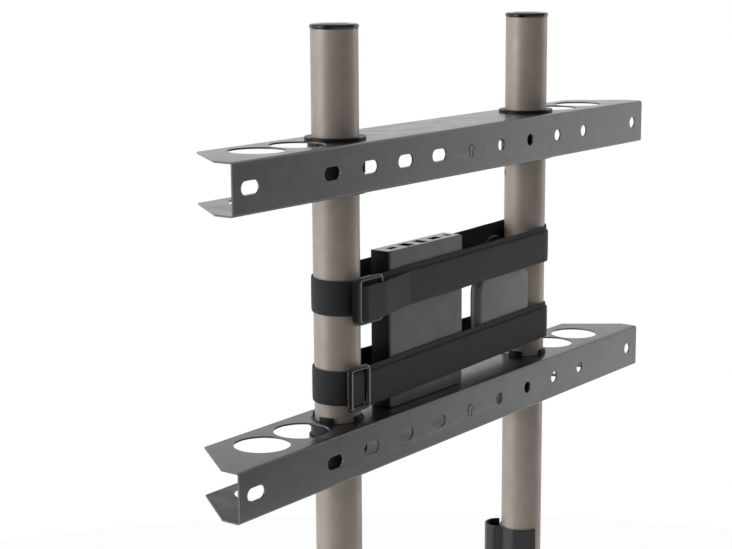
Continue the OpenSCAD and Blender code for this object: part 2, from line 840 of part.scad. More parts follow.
module post_socket(side) {
    color(black_plastic) translate([side * post_x, 0, socket_z]) difference() {
        union() {
            linear_extrude(socket_plate_t)
                bar_profile(socket_plate_w, socket_plate_depth, socket_corner_r);
            cylinder(h = socket_plate_t + socket_neck_h, r = socket_neck_r);
        }
        translate([0, 0, -cut_over])
            cylinder(h = socket_plate_t + socket_neck_h + 2 * cut_over, r = socket_bore_r);
        for (x = socket_bolt_xs, y = socket_bolt_ys)
            translate([x, y, -cut_over]) cylinder(h = socket_plate_t + 2 * cut_over, d = bolt_hole_d);
        translate([0, 0, socket_plate_t + socket_neck_h / 2]) rotate([-90, 0, 0])
            cylinder(h = 2 * socket_neck_r, d = socket_screw_d + 2 * part_gap);
    }
}

module socket_set_screws() {
    color(steel_colour) for (side = sides)
        translate([side * post_x, 0, socket_z + socket_plate_t + socket_neck_h / 2])
            rotate([0, 0, 180]) set_screw(socket_screw_d, post_d / 2 + part_gap, socket_neck_r);
}

// Casters: a fixed plate with its stem and swivel pin, a fork, a wheel on its axle, and a brake pedal
stem_d = 10;
stem_h = 14;
kingpin_head_d = 12;
kingpin_head_t = 1.4;
kingpin_drop = caster_plate_z - fork_roof_z + part_gap;
fork_side_gap = 1.5;
fork_half_w = wheel_w / 2 + fork_side_gap + fork_t;
fork_front = 14;
fork_roof_back = 22;
axle_z = wheel_r;
axle_boss_r = 9;
axle_head_d = 14;
axle_head_t = 4;
hub_r = 10;
wheel_recess = 3;
wheel_rim_in = 6;
wheel_edge_r = 4;
pedal_pin_d = 4;
pedal_barrel_r = 4;
pedal_ear_r = 5.5;
pedal_side_gap = 0.5;
// The shoe's edge swings by pedal_throw to point at the axle, where it nearly meets the wheel
shoe_r = 1;
shoe_rise = 0.75;
brake_gap = 0.15;
pedal_throw = 22;
pedal_lean = 39;
pedal_reach = wheel_r + pedal_barrel_r + shoe_rise + brake_gap;
pedal_pin_y = caster_trail + pedal_reach * sin(pedal_lean);
pedal_pin_z = axle_z + pedal_reach * cos(pedal_lean);

module caster_plates() {
    color(steel_colour) caster_places() {
        translate([0, 0, caster_plate_z]) cylinder(h = caster_plate_t, d = race_d);
        translate([0, 0, leg_z]) cylinder(h = stem_h, d = stem_d);
        translate([0, 0, caster_plate_z - kingpin_drop]) cylinder(h = kingpin_drop, d = kingpin_d);
        translate([0, 0, caster_plate_z - kingpin_drop - kingpin_head_t])
            cylinder(h = kingpin_head_t, d = kingpin_head_d);
    }
}

// Side sheet of a fork, drawn in the plane of the wheel
module fork_cheek_profile() {
    polygon([
        [-fork_front, race_z], [fork_roof_back, race_z], [pedal_pin_y, pedal_pin_z + pedal_ear_r],
        [pedal_pin_y + pedal_ear_r, pedal_pin_z], [pedal_pin_y, pedal_pin_z - pedal_ear_r],
        [caster_trail + axle_boss_r, axle_z], [caster_trail - axle_boss_r, axle_z],
        [-fork_front, fork_roof_z - fork_t]
    ]);
    translate([pedal_pin_y, pedal_pin_z]) circle(pedal_ear_r);
    translate([caster_trail, axle_z]) circle(axle_boss_r);
}

module caster_fork() {
    color(steel_colour) difference() {
        union() {
            translate([0, 0, race_z]) cylinder(h = race_t, d = race_d);
            translate([-fork_half_w, -fork_front, fork_roof_z])
                cube([2 * fork_half_w, fork_front + fork_roof_back, fork_t]);
            for (side = sides)
                translate([side * (fork_half_w - fork_t / 2), 0, 0]) along_x(fork_t) fork_cheek_profile();
        }
        translate([0, 0, fork_roof_z - cut_over])
            cylinder(h = fork_t + race_t + 2 * cut_over, d = kingpin_d + 2 * running_gap);
        translate([0, caster_trail, axle_z]) rotate([0, 90, 0])
            cylinder(h = 2 * fork_half_w + cut_over, d = axle_d + part_gap, center = true);
        translate([0, pedal_pin_y, pedal_pin_z]) rotate([0, 90, 0])
            cylinder(h = 2 * fork_half_w + cut_over, d = pedal_pin_d + part_gap, center = true);
    }
}

module caster_pins() {
    color(steel_colour) {
        translate([0, caster_trail, axle_z]) rotate([0, 90, 0]) {
            cylinder(h = 2 * fork_half_w, d = axle_d, center = true);
            for (side = sides) translate([0, 0, side * (fork_half_w + axle_head_t / 2)])
                cylinder(h = axle_head_t, d = axle_head_d, center = true);
        }
        translate([0, pedal_pin_y, pedal_pin_z]) rotate([0, 90, 0])
            cylinder(h = 2 * fork_half_w, d = pedal_pin_d, center = true);
    }
}

module caster_wheel() {
    half = wheel_w / 2;
    bore_r = axle_d / 2 + running_gap;
    side_line = [
        [bore_r, half], [hub_r, half], [hub_r, half - wheel_recess],
        [wheel_r - wheel_rim_in, half - wheel_recess], [wheel_r - wheel_rim_in, half],
        [wheel_r - wheel_edge_r, half]
    ];
    edge = [for (i = [1 : corner_steps])
        [wheel_r - wheel_edge_r, half - wheel_edge_r]
            + wheel_edge_r * [sin(90 * i / corner_steps), cos(90 * i / corner_steps)]];
    upper = concat(side_line, edge);
    lower = [for (i = [len(upper) - 1 : -1 : 0]) [upper[i].x, -upper[i].y]];
    color(tyre_colour) translate([0, caster_trail, axle_z]) rotate([0, 90, 0])
        rotate_extrude() polygon(concat(upper, lower));
}

module caster_pedal() {
    half_w = wheel_w / 2 + fork_side_gap - pedal_side_gap;
    color(black_plastic) translate([0, pedal_pin_y, pedal_pin_z]) difference() {
        union() {
            rotate([0, 90, 0]) cylinder(h = 2 * half_w, r = pedal_barrel_r, center = true);
            translate([-half_w, 0, pedal_barrel_r - pedal_t])
                cube([2 * half_w, pedal_len, pedal_t]);
            rotate([pedal_throw - pedal_lean, 0, 0]) translate([0, 0, shoe_r - shoe_rise - pedal_barrel_r])
                rotate([0, 90, 0]) cylinder(h = wheel_w - 2 * wheel_edge_r, r = shoe_r, center = true);
        }
        rotate([0, 90, 0])
            cylinder(h = 2 * half_w + cut_over, d = pedal_pin_d + 2 * running_gap, center = true);
    }
}

// Moves a caster piece to its corner: side is left or right, end is front or back
module at_corner(side, end) {
    translate([side * leg_x, end * caster_y, 0]) children();
}

post(-1);  // post_left
post(1);  // post_right
post_cap(-1);  // post_cap_left
post_cap(1);  // post_cap_right
rail(upper_rail_z);  // upper_rail
rail_bush(upper_rail_z, -1, 1);  // upper_rail_bush_left_top
rail_bush(upper_rail_z, -1, -1);  // upper_rail_bush_left_bottom
rail_bush(upper_rail_z, 1, 1);  // upper_rail_bush_right_top
rail_bush(upper_rail_z, 1, -1);  // upper_rail_bush_right_bottom
rail_collar(upper_rail_z, -1);  // upper_rail_collar_left
rail_collar(upper_rail_z, 1);  // upper_rail_collar_right
rail_set_screws(upper_rail_z);  // upper_rail_set_screws
rail(lower_rail_z);  // lower_rail
rail_toothed_bush(lower_rail_z, -1);  // lower_rail_bush_left_top
rail_bush(lower_rail_z, -1, -1);  // lower_rail_bush_left_bottom
rail_toothed_bush(lower_rail_z, 1);  // lower_rail_bush_right_top
rail_bush(lower_rail_z, 1, -1);  // lower_rail_bush_right_bottom
rail_collar(lower_rail_z, -1);  // lower_rail_collar_left
rail_collar(lower_rail_z, 1);  // lower_rail_collar_right
rail_set_screws(lower_rail_z);  // lower_rail_set_screws
strap_upper();
buckle(upper_buckle_x, upper_buckle_back_y, upper_strap_z);  // buckle_upper
strap_lower();
buckle(lower_buckle_x, lower_buckle_back_y, lower_strap_z);  // buckle_lower
media_box_casing();
media_box_sockets();
media_box_front();
receiver_casing();
receiver_front();
cable_clip();
crossbeam();
crossbeam_end_caps();
leg(-1);  // leg_left
leg(1);  // leg_right
leg_end_caps();
post_socket(-1);  // post_socket_left
post_socket(1);  // post_socket_right
socket_bolts();
leg_bolts();
socket_set_screws();
caster_plates();
at_corner(-1, -1) caster_fork();  // caster_front_left_fork
at_corner(-1, -1) caster_pins();  // caster_front_left_pins
at_corner(-1, -1) caster_wheel();  // caster_front_left_wheel
at_corner(-1, -1) caster_pedal();  // caster_front_left_pedal
at_corner(1, -1) caster_fork();  // caster_front_right_fork
at_corner(1, -1) caster_pins();  // caster_front_right_pins
at_corner(1, -1) caster_wheel();  // caster_front_right_wheel
at_corner(1, -1) caster_pedal();  // caster_front_right_pedal
at_corner(-1, 1) caster_fork();  // caster_back_left_fork
at_corner(-1, 1) caster_pins();  // caster_back_left_pins
at_corner(-1, 1) caster_wheel();  // caster_back_left_wheel
at_corner(-1, 1) caster_pedal();  // caster_back_left_pedal
at_corner(1, 1) caster_fork();  // caster_back_right_fork
at_corner(1, 1) caster_pins();  // caster_back_right_pins
at_corner(1, 1) caster_wheel();  // caster_back_right_wheel
at_corner(1, 1) caster_pedal();  // caster_back_right_pedal
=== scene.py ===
import json
import math

import bmesh
import bpy
from mathutils import Matrix, Vector


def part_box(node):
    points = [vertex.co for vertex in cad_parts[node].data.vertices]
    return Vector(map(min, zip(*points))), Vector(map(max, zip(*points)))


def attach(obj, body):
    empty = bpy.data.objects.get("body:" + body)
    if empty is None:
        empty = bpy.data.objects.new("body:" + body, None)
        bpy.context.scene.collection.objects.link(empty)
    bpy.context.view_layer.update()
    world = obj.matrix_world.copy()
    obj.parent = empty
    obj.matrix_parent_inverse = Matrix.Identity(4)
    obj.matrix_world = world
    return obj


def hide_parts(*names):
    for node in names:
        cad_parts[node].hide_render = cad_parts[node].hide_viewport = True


# The rolling stand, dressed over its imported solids. Metres, +Z up, the screen side is -Y.

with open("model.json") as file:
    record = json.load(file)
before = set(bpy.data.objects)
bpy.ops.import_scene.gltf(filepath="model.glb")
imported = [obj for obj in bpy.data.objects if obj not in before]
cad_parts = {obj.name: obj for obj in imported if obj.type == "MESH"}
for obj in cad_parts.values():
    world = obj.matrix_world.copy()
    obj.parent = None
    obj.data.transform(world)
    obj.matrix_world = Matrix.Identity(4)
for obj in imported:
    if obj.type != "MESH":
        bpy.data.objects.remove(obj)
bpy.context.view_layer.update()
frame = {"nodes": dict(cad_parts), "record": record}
nodes = frame["nodes"]
record = frame["record"]
body_of_node = {node: body for body, members in record["behaviour"]["bodies"].items() for node in members}
slot_of_node = {part["node"]: part["material_slot"] for part in record["subparts"]}

MM = 0.001

# Places shared with the solids
POST_X = 0.150
POST_R = 0.020
LOWER_RAIL_Z = 1.140
SIDES = (-1, 1)

# Closer points than this are one point
WELD = 0.001 * MM

# A face lies square to an axis if its normal has at least this much along it
SQUARE = 0.95


# Camera at the photograph's viewing angle: metres, degrees and millimetres of lens
CAMERA_PLACE = (-1.2358, -0.8557, 1.5498)
CAMERA_YAW = 52.79
CAMERA_PITCH = 10.81
CAMERA_ROLL = -0.39
CAMERA_LENS = 81.8
CAMERA_SENSOR_W = 36


def make_camera():
    yaw, pitch, roll = (math.radians(a) for a in (CAMERA_YAW, CAMERA_PITCH, CAMERA_ROLL))
    right = Vector((math.cos(yaw), -math.sin(yaw), 0))
    ahead = Vector((math.sin(yaw), math.cos(yaw), 0))
    up = Vector((0, 0, 1))
    look = ahead * math.cos(pitch) - up * math.sin(pitch)
    top = ahead * math.sin(pitch) + up * math.cos(pitch)
    side = right * math.cos(roll) + top * math.sin(roll)
    top = top * math.cos(roll) - right * math.sin(roll)
    turned = Matrix((side, top, -look)).transposed()
    data = bpy.data.cameras.new("camera")
    data.lens = CAMERA_LENS
    data.sensor_width = CAMERA_SENSOR_W
    camera = bpy.data.objects.new("camera", data)
    camera.matrix_world = Matrix.Translation(CAMERA_PLACE) @ turned.to_4x4()
    bpy.context.scene.collection.objects.link(camera)
    bpy.context.scene.camera = camera


make_camera()


# Materials: each has its own grain, mottling and roughness, from its object's own coordinates.
# Sizes of noise are in metres.
MOTTLE_SIZE = 0.035
GLOSS_SIZE = 0.02
GLOSS_SPREAD = 0.15
WEAR_SIZE = 0.012
WEAR_SHARE = 0.6
WEAR_NOISE = (0.4, 0.65)
WEAR_EDGE = (0.53, 0.6)
MIDDLE_NOISE = (0.3, 0.7)


class Shader:
    """A material's node tree, with short ways to add and join nodes."""

    def __init__(self, name):
        self.material = bpy.data.materials.new(name)
        self.material.use_nodes = True
        self.tree = self.material.node_tree
        self.surface = self.tree.nodes["Principled BSDF"]

    def add(self, kind, inputs=(), **settings):
        node = self.tree.nodes.new(kind)
        for key, value in settings.items():
            setattr(node, key, value)
        for socket, value in dict(inputs).items():
            if isinstance(value, bpy.types.NodeSocket):
                self.tree.links.new(value, node.inputs[socket])
            else:
                node.inputs[socket].default_value = value
        return node

    def math(self, operation, a, b=0.0):
        return self.add("ShaderNodeMath", {0: a, 1: b}, operation=operation).outputs[0]

    def place(self):
        return self.add("ShaderNodeTexCoord").outputs["Object"]

    def noise(self, size, detail=3.0, vector=None):
        """Noise from 0 to 1 whose blobs are about this many metres across."""
        inputs = {"Vector": vector or self.place(), "Scale": 1 / size, "Detail": detail}
        return self.add("ShaderNodeTexNoise", inputs).outputs["Fac"]

    def stretch(self, value, low, high, to_low, to_high):
        """Takes a value's range from low to high to another range, and stops at its ends."""
        inputs = {"Value": value, "From Min": low, "From Max": high, "To Min": to_low, "To Max": to_high}
        return self.add("ShaderNodeMapRange", inputs).outputs["Result"]

    def mix(self, factor, a, b):
        """A colour between a and b; each may be a colour or another node's output."""
        node = self.add("ShaderNodeMix", data_type="RGBA")
        for socket, value in ((0, factor), (6, a), (7, b)):
            if isinstance(value, bpy.types.NodeSocket):
                self.tree.links.new(value, node.inputs[socket])
            else:
                node.inputs[socket].default_value = value if socket == 0 else (*value, 1)
        return node.outputs[2]

    def give(self, socket, value):
        if isinstance(value, bpy.types.NodeSocket):
            self.tree.links.new(value, self.surface.inputs[socket])
        elif isinstance(value, tuple):
            self.surface.inputs[socket].default_value = (*value, 1)
        else:
            self.surface.inputs[socket].default_value = value

    def bump(self, height, distance):
        inputs = {"Height": height, "Distance": distance, "Strength": 1.0}
        self.give("Normal", self.add("ShaderNodeBump", inputs).outputs["Normal"])

    def edge_wear(self):
        """From 0 on flats to 1 on sharp outer edges, broken up by noise."""
        edge = self.add("ShaderNodeNewGeometry").outputs["Pointiness"]
        rubbed = self.stretch(self.noise(WEAR_SIZE), *WEAR_NOISE, 0.0, 1.0)
        return self.math("MULTIPLY", self.stretch(edge, *WEAR_EDGE, 0.0, 1.0), rubbed)


def shade(colour, factor):
    return tuple(c * factor for c in colour)


def paint(name, colour, roughness, grain, grain_depth, mottle, metallic=0.0, wear=None, gleam=0.5):
    """Paint or plastic: faint mottling, a fine grain, uneven gloss, and a lighter tone on rubbed edges."""
    shader = Shader(name)
    mottling = shader.noise(MOTTLE_SIZE, 4.0)
    tone = shader.mix(mottling, shade(colour, 1 - mottle), shade(colour, 1 + mottle))
    if wear:
        tone = shader.mix(shader.math("MULTIPLY", shader.edge_wear(), WEAR_SHARE), tone, wear)
    shader.give("Base Color", tone)
    glossiest, dullest = roughness * (1 - GLOSS_SPREAD), roughness * (1 + GLOSS_SPREAD)
    shader.give("Roughness", shader.stretch(shader.noise(GLOSS_SIZE), *MIDDLE_NOISE, glossiest, dullest))
    shader.give("Metallic", metallic)
    shader.give("Specular IOR Level", gleam)
    shader.bump(shader.noise(grain, 2.0), grain_depth)
    return shader.material


STEEL_COLD = (0.46, 0.47, 0.49)
STEEL_WARM = (0.62, 0.62, 0.60)
STEEL_ROUGHNESS = (0.24, 0.42)
STEEL_LINE_W = 0.0006
STEEL_LINE_STRETCH = 20
STEEL_PATCH_SIZE = 0.015
STEEL_DEPTH = 0.00004


def brushed_steel():
    """Zinc plated steel: fine lines along Z, a warmer tone in patches."""
    shader = Shader("bright_steel")
    longer = {"Vector": shader.place(), "Scale": (1.0, 1.0, 1 / STEEL_LINE_STRETCH)}
    lines = shader.add("ShaderNodeMapping", longer).outputs[0]
    streaks = shader.noise(STEEL_LINE_W, 3.0, lines)
    patches = shader.noise(STEEL_PATCH_SIZE)
    shader.give("Base Color", shader.mix(patches, STEEL_COLD, STEEL_WARM))
    shader.give("Roughness", shader.stretch(streaks, *MIDDLE_NOISE, *STEEL_ROUGHNESS))
    shader.give("Metallic", 1.0)
    shader.bump(streaks, STEEL_DEPTH)
    return shader.material


WEAVE_MAP = "Weave"
RIB_PITCH = 0.0019
RIB_LEAN = 0.9
PICK_PITCH = 0.0011
RIB_SHARE = 0.6
FUZZ_SIZE = 0.0007
FUZZ_SHARE = 0.4
WEAVE_DEPTH = 0.00018
FADE_SIZE = 0.025
# Colours at the bottom and the top of a rib
DARK_YARN = ((0.016, 0.016, 0.017), (0.040, 0.039, 0.040))
FADED_YARN = ((0.026, 0.025, 0.026), (0.058, 0.056, 0.057))
WEBBING_ROUGHNESS = (0.7, 0.92)
SHEEN = 0.2
SHEEN_ROUGHNESS = 0.45
SHEEN_TINT = (0.75, 0.75, 0.78)


def webbing(name, tone):
    """Herringbone webbing: ribs that lean away from the strap's middle. A lower tone is darker."""
    shader = Shader(name)
    at = shader.add("ShaderNodeUVMap", uv_map=WEAVE_MAP).outputs[0]
    split = shader.add("ShaderNodeSeparateXYZ", {0: at})
    along, across = split.outputs[0], split.outputs[1]
    from_middle = shader.math("ABSOLUTE", across)
    rib = shader.math("ADD", along, shader.math("MULTIPLY", from_middle, RIB_LEAN))
    ribs = shader.math("SINE", shader.math("MULTIPLY", rib, 2 * math.pi / RIB_PITCH))
    picks = shader.math("SINE", shader.math("MULTIPLY", from_middle, 2 * math.pi / PICK_PITCH))
    rib_part = shader.math("MULTIPLY", ribs, RIB_SHARE)
    pick_part = shader.math("MULTIPLY", picks, 1 - RIB_SHARE)
    weave = shader.stretch(shader.math("ADD", rib_part, pick_part), -1.0, 1.0, 0.0, 1.0)
    fuzz = shader.noise(FUZZ_SIZE, 3.0)
    dark = shader.mix(weave, *(shade(colour, tone) for colour in DARK_YARN))
    faded = shader.mix(weave, *(shade(colour, tone) for colour in FADED_YARN))
    shader.give("Base Color", shader.mix(shader.noise(FADE_SIZE, 4.0), dark, faded))
    shader.give("Roughness", shader.stretch(fuzz, *MIDDLE_NOISE, *WEBBING_ROUGHNESS))
    shader.give("Sheen Weight", SHEEN * tone)
    shader.give("Sheen Roughness", SHEEN_ROUGHNESS)
    shader.give("Sheen Tint", SHEEN_TINT)
    shader.bump(shader.math("ADD", weave, shader.math("MULTIPLY", fuzz, FUZZ_SHARE)), WEAVE_DEPTH)
    return shader.material


RUBBER_COLOUR = (0.042, 0.042, 0.044)
SCUFF_COLOUR = (0.085, 0.082, 0.078)
SCUFF_SIZE = 0.006
SCUFF_NOISE = (0.45, 0.62)
RUBBER_ROUGHNESS = (0.62, 0.88)
RUBBER_GRAIN = 0.0011
RUBBER_DEPTH = 0.00015


def rubber():
    """Wheel tread: dark grey rubber with lighter scuffs."""
    shader = Shader("wheel_rubber")
    scuffs = shader.stretch(shader.noise(SCUFF_SIZE, 5.0), *SCUFF_NOISE, 0.0, 1.0)
    shader.give("Base Color", shader.mix(scuffs, RUBBER_COLOUR, SCUFF_COLOUR))
    shader.give("Roughness", shader.stretch(scuffs, 0.0, 1.0, *RUBBER_ROUGHNESS))
    shader.bump(shader.noise(RUBBER_GRAIN, 4.0), RUBBER_DEPTH)
    return shader.material


PAINTS = (
    # Name, colour, roughness, size and depth of the grain, mottling, and what else is unlike plain paint
    (
        "post_paint", (0.355, 0.305, 0.262), 0.48, 0.0006, 0.00002, 0.03,
        {"metallic": 0.3, "wear": (0.5, 0.47, 0.44)}
    ),
    ("rail_paint", (0.098, 0.095, 0.100), 0.24, 0.0007, 0.00003, 0.05, {"wear": (0.2, 0.195, 0.19)}),
    ("base_paint", (0.03, 0.03, 0.032), 0.44, 0.0008, 0.00004, 0.08, {"wear": (0.09, 0.09, 0.09)}),
    # Painted shade: the rail paint made darker on every upward face
    ("rail_top", (0.014, 0.0135, 0.014), 0.235, 0.0007, 0.00001, 0.05, {}),
    # Painted shade: the rail paint made darker and rougher inside the channel
    ("rail_inside", (0.045, 0.044, 0.046), 0.5, 0.0007, 0.00003, 0.05, {}),
    ("gloss_black", (0.008, 0.008, 0.009), 0.12, 0.0009, 0.00001, 0.1, {}),
    ("cap_black", (0.003, 0.003, 0.0032), 0.12, 0.0009, 0.00001, 0.1, {"gleam": 0.45}),
    ("clip_black", (0.018, 0.018, 0.019), 0.3, 0.0007, 0.00002, 0.1, {}),
    ("bush_black", (0.008, 0.008, 0.009), 0.4, 0.0007, 0.00003, 0.1, {"gleam": 0.2}),
    ("matt_black", (0.024, 0.024, 0.025), 0.55, 0.0006, 0.00006, 0.08, {"wear": (0.07, 0.07, 0.07)}),
    ("device_shell", (0.0035, 0.0035, 0.004), 0.45, 0.0005, 0.00004, 0.1, {"gleam": 0.12}),
    ("box_face", (0.072, 0.072, 0.074), 0.45, 0.0005, 0.00003, 0.05, {}),
    ("box_top", (0.04, 0.04, 0.041), 0.16, 0.0005, 0.00002, 0.05, {}),
    ("device_face", (0.12, 0.119, 0.122), 0.42, 0.0005, 0.00003, 0.05, {}),
    # Painted highlight: a lighter copy of the receiver's face colour, for its right-facing edge
    ("device_rim", (0.26, 0.258, 0.262), 0.3, 0.0005, 0.00002, 0.05, {}),
)
materials = {name: paint(name, *values, **extra) for name, *values, extra in PAINTS}
materials["bright_steel"] = brushed_steel()
materials["webbing"] = webbing("webbing", 0.7)
# Painted shade: a darker copy of the webbing, for the upper strap's loop and fold and the whole lower strap
materials["webbing_painted_shade"] = webbing("webbing_painted_shade", 0.45)
materials["wheel_rubber"] = rubber()


# Ways to make pieces. In degrees: an edge that turns this much is rounded, and one that turns less than
# the flat angle is no edge.
EDGE_ANGLE = 30
FLAT_ANGLE = 0.5


def new_piece(name, verts, faces, *finishes, crease=35):
    """A mesh object; its edges are sharp where they turn by more than crease degrees."""
    mesh = bpy.data.meshes.new(name)
    mesh.from_pydata(verts, [], faces)
    for finish in finishes:
        mesh.materials.append(materials[finish])
    mesh.shade_smooth()
    mesh.set_sharp_from_angle(angle=math.radians(crease))
    piece = bpy.data.objects.new(name, mesh)
    bpy.context.scene.collection.objects.link(piece)
    return piece


def carry(piece, *replaced):
    """The piece stands for these nodes, and rides on the first of them."""
    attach(piece, body_of_node[replaced[0]])
    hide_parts(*replaced)


def round_edges(piece, width, segments):
    bevel = piece.modifiers.new("edges", "BEVEL")
    bevel.width = width
    bevel.segments = segments
    bevel.limit_method = "ANGLE"
    bevel.angle_limit = math.radians(EDGE_ANGLE)
    bevel.harden_normals = True


def finished_copy(node, edge, segments=2, finishes=None):
    """A node's own shape, welded and with rounded edges, which then stands for the node."""
    source = bmesh.new()
    source.from_mesh(nodes[node].data)
    bmesh.ops.remove_doubles(source, verts=source.verts, dist=WELD)
    flat = math.radians(FLAT_ANGLE)
    bmesh.ops.dissolve_limit(source, angle_limit=flat, verts=source.verts, edges=source.edges)
    source.verts.index_update()
    verts = [v.co.copy() for v in source.verts]
    faces = [[v.index for v in f.verts] for f in source.faces]
    source.free()
    finishes = finishes or (slot_of_node[node],)
    piece = new_piece(f"{node}_finished", verts, faces, *finishes, crease=EDGE_ANGLE)
    round_edges(piece, edge, segments)
    carry(piece, node)
    return piece


def paint_faces(piece, index, test):
    """Gives the faces whose middle and normal pass the test another of the piece's finishes."""
    for face in piece.data.polygons:
        if test(face.center, face.normal):
            face.material_index = index


def rounded_rectangle(w, h, r, steps):
    """Points of a rounded rectangle and the outward direction at each, anticlockwise."""
    points = []
    for sx, sy, start in ((1, 1, 0), (-1, 1, 90), (-1, -1, 180), (1, -1, 270)):
        for i in range(steps + 1):
            a = math.radians(start + 90 * i / steps)
            out = Vector((math.cos(a), math.sin(a)))
            points.append((Vector((sx * (w / 2 - r), sy * (h / 2 - r))) + out * r, out))
    return points


def lathe(profile, segments):
    """Vertices and faces of a closed profile of (radius, height) turned round Z."""
    verts = []
    faces = []
    count = len(profile)
    for s in range(segments):
        a = 2 * math.pi * s / segments
        verts += [(r * math.cos(a), r * math.sin(a), h) for r, h in profile]
    for s in range(segments):
        here = s * count
        there = (s + 1) % segments * count
        for i in range(count):
            j = (i + 1) % count
            faces.append((here + i, there + i, there + j, here + j))
    return verts, faces


# Webbing straps: a closed loop round both posts, and a tail that lies over its front
STRAP_W = 30 * MM
STRAP_T = 1.6 * MM
STRAP_IN_R = POST_R + 0.3 * MM
STRAP_MID_R = STRAP_IN_R + STRAP_T / 2
STRAP_FRONT_Y = -(STRAP_IN_R + STRAP_T)
TAIL_R = STRAP_MID_R + STRAP_T
TAIL_DROP = 5 * MM
STEP = 3 * MM
ARC_STEPS = 28
WIDTH_STEPS = 8
EDGE_THINNING = 0.25
EDGE_THINNING_POWER = 6
# The webbing's slight unevenness: its height, and two waves along it in radians a metre
RIPPLE = 0.12 * MM
RIPPLE_WAVES = (95, 31)


def smooth_step(t):
    t = min(max(t, 0.0), 1.0)
    return t * t * (3 - 2 * t)


def loop_path(r, front_rise, back_rise):
    """The strap's way round both posts, from the right end of its front: (x, y, rise, out x, out y)."""
    left_front, right_front = front_rise
    left_back, right_back = back_rise
    count = int(2 * POST_X / STEP)
    path = []
    for i in range(count):
        t = i / count
        path.append((POST_X - 2 * POST_X * t, -r, right_front + (left_front - right_front) * t, 0, -1))
    for i in range(ARC_STEPS):
        t = i / ARC_STEPS
        a = math.radians(270 - 180 * t)
        rise = left_front + (left_back - left_front) * smooth_step(t)
        path.append((-POST_X + r * math.cos(a), r * math.sin(a), rise, math.cos(a), math.sin(a)))
    for i in range(count):
        t = i / count
        path.append((-POST_X + 2 * POST_X * t, r, left_back + (right_back - left_back) * t, 0, 1))
    for i in range(ARC_STEPS):
        t = i / ARC_STEPS
        a = math.radians(90 - 180 * t)
        rise = right_back + (right_front - right_back) * smooth_step(t)
        path.append((POST_X + r * math.cos(a), r * math.sin(a), rise, math.cos(a), math.sin(a)))
    return path


def strap_section(w, t):
    """Outline of the webbing across its width, as (out, up), with thinner woven edges."""
    side = []
    for i in range(WIDTH_STEPS + 1):
        up = -1 + 2 * i / WIDTH_STEPS
        crown = 1 - EDGE_THINNING * abs(up) ** EDGE_THINNING_POWER
        side.append((t / 2 * crown, up * (w / 2 - t / 3)))
    edge = [(t / 4, w / 2 - t / 9), (0, w / 2), (-t / 4, w / 2 - t / 9)]
    front = side + edge
    back = [(-out, -up) for out, up in side + edge]
    return front + back


def ribbon(name, path, z, closed, finish):
    """Webbing along a path at a level z, with a map in metres along and across it for the weave."""
    section = strap_section(STRAP_W, STRAP_T)
    count = len(section)
    verts = []
    travelled = [0.0]
    for a, b in zip(path, path[1:] + path[:1]):
        travelled.append(travelled[-1] + math.hypot(b[0] - a[0], b[1] - a[1]))
    for i, (x, y, rise, out_x, out_y) in enumerate(path):
        ripple = RIPPLE * math.sin(travelled[i] * RIPPLE_WAVES[0]) * math.sin(travelled[i] * RIPPLE_WAVES[1])
        for out, up in section:
            d = out + ripple * 0.5
            verts.append((x + out_x * d, y + out_y * d, z + rise + up + ripple))
    faces = []
    rings = len(path) if closed else len(path) - 1
    for i in range(rings):
        here = i * count
        there = (i + 1) % len(path) * count
        for j in range(count):
            k = (j + 1) % count
            faces.append((here + j, here + k, there + k, there + j))
    if not closed:
        faces.append(tuple(range(count - 1, -1, -1)))
        faces.append(tuple(range((len(path) - 1) * count, len(path) * count)))
    piece = new_piece(name, verts, faces, finish, crease=50)
    layer = piece.data.uv_layers.new(name=WEAVE_MAP)
    for polygon in piece.data.polygons:
        last = closed and polygon.index // count == rings - 1
        for loop in polygon.loop_indices:
            vertex = piece.data.loops[loop].vertex_index
            ring = vertex // count
            along = travelled[-1] if last and ring == 0 else travelled[ring]
            layer.data[loop].uv = (along, section[vertex % count][1])
    return piece


def along_points(points, rise_at):
    """A plan polyline cut into short steps, each with its front direction. The last point is left out."""
    path = []
    for (x0, y0), (x1, y1) in zip(points, points[1:]):
        length = math.hypot(x1 - x0, y1 - y0)
        count = max(1, int(length / STEP))
        out = ((y1 - y0) / length, -(x1 - x0) / length)
        for i in range(count):
            t = i / count
            x = x0 + (x1 - x0) * t
            path.append((x, y0 + (y1 - y0) * t, rise_at(x), *out))
    return path


def tail_path(lead_in, rise_at):
    """The outer layer: from its ring along the front and a quarter turn round the right post."""
    path = along_points(lead_in + [(POST_X, -TAIL_R)], rise_at)
    for i in range(ARC_STEPS + 1):
        a = math.radians(-90 + 90 * i / ARC_STEPS)
        c, s = math.cos(a), math.sin(a)
        path.append((POST_X + TAIL_R * c, TAIL_R * s, rise_at(POST_X), c, s))
    return path


# Ring buckles
RING_T = 3.4 * MM
RING_CROSS_BAR = 4 * MM
RING_CORNER_R = 5 * MM
RING_CORNER_STEPS = 8
RING_SECTION_STEPS = 16
RING_SECTION_POWER = 0.7


def bulge(value):
    """A sine or cosine for a bar's section that is fuller than a circle."""
    return math.copysign(abs(value) ** RING_SECTION_POWER, value)


